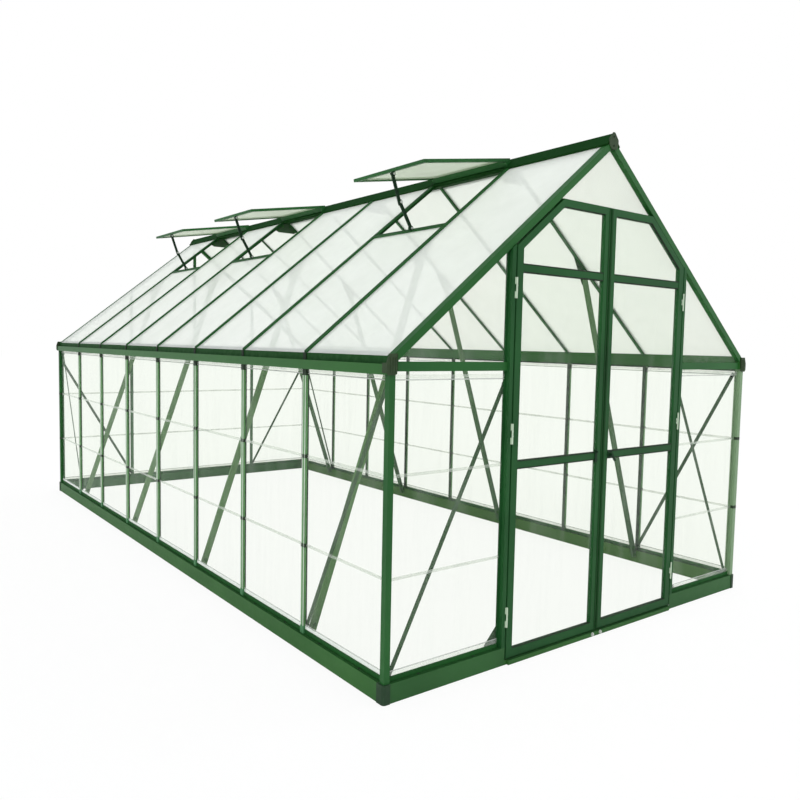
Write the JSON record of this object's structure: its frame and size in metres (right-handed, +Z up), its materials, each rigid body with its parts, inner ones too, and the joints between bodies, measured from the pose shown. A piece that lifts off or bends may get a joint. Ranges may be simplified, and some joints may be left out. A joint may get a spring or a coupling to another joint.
{
  "type": "polycarbonate greenhouse",
  "caption": "Long gabled greenhouse with a green metal frame, clear wall sheets, twin-wall roof, open roof vents and a pair of hinged doors in the front gable.",
  "frame": {"origin": "centre of the base on the ground", "axes": "+Z up, +Y along the ridge towards the rear gable, front gable with the doors faces -Y, +X to the right seen from the front"},
  "size_m": [2.484, 4.902, 2.311],
  "materials": {
    "green_aluminium": "satin green powder coat on aluminium",
    "green_steel": "satin green coat on galvanised steel",
    "dark_plastic": "matt grey-green moulded plastic",
    "clear_sheet": "clear glossy polycarbonate sheet",
    "twin_wall": "milky twin-wall polycarbonate sheet",
    "clear_strip": "clear grey plastic joining strip",
    "hinge_metal": "pale painted hinge metal",
    "dark_fitting": "dark green painted fitting"
  },
  "bodies": {
    "house": {"base_side_rails": "green_steel", "base_end_rails": "green_steel", "base_corners": "dark_plastic", "door_threshold": "green_steel", "corner_posts": "green_aluminium", "side_wall_posts": "green_aluminium", "rear_wall_posts": "green_aluminium", "door_posts": "green_aluminium", "gutters": "green_aluminium", "eave_corners": "dark_plastic", "gable_eave_rails": "green_aluminium", "door_header": "green_aluminium", "gable_rafters": "green_aluminium", "roof_bars": "green_aluminium", "ridge_beam": "green_aluminium", "ridge_caps": "dark_plastic", "side_wall_sheets": "clear_sheet", "rear_wall_sheets": "clear_sheet", "front_wall_sheets": "clear_sheet", "gable_sheets": "clear_sheet", "sheet_strips": "clear_strip", "left_roof_sheets": "twin_wall", "right_roof_sheets": "twin_wall", "vent_sash_sides": "green_aluminium", "vent_sash_ends": "green_aluminium", "vent_sheets": "twin_wall", "vent_sills": "green_aluminium", "vent_stays": "dark_fitting", "frame_struts": "green_steel", "joint_plates": "green_steel", "corner_braces": "dark_fitting", "door_hinge_knuckles": "hinge_metal"},
    "left_door": {"left_door_stiles": "green_aluminium", "left_door_rails": "green_aluminium", "left_door_head": "green_aluminium", "left_door_sheets": "clear_sheet", "left_door_hinges": "hinge_metal", "left_door_handle": "dark_fitting"},
    "right_door": {"right_door_stiles": "green_aluminium", "right_door_rails": "green_aluminium", "right_door_head": "green_aluminium", "right_door_sheets": "clear_sheet", "right_door_hinges": "hinge_metal", "right_door_handle": "dark_fitting"}
  },
  "joints": [
    {"name": "left_door_hinge", "type": "hinge", "parent": "house", "child": "left_door", "pos_m": [-0.596, -2.444, 0.982], "axis": [0, 0, -1], "range_deg": [0, 110]},
    {"name": "right_door_hinge", "type": "hinge", "parent": "house", "child": "right_door", "pos_m": [0.596, -2.444, 0.982], "axis": [0, 0, 1], "range_deg": [0, 110]}
  ]
}
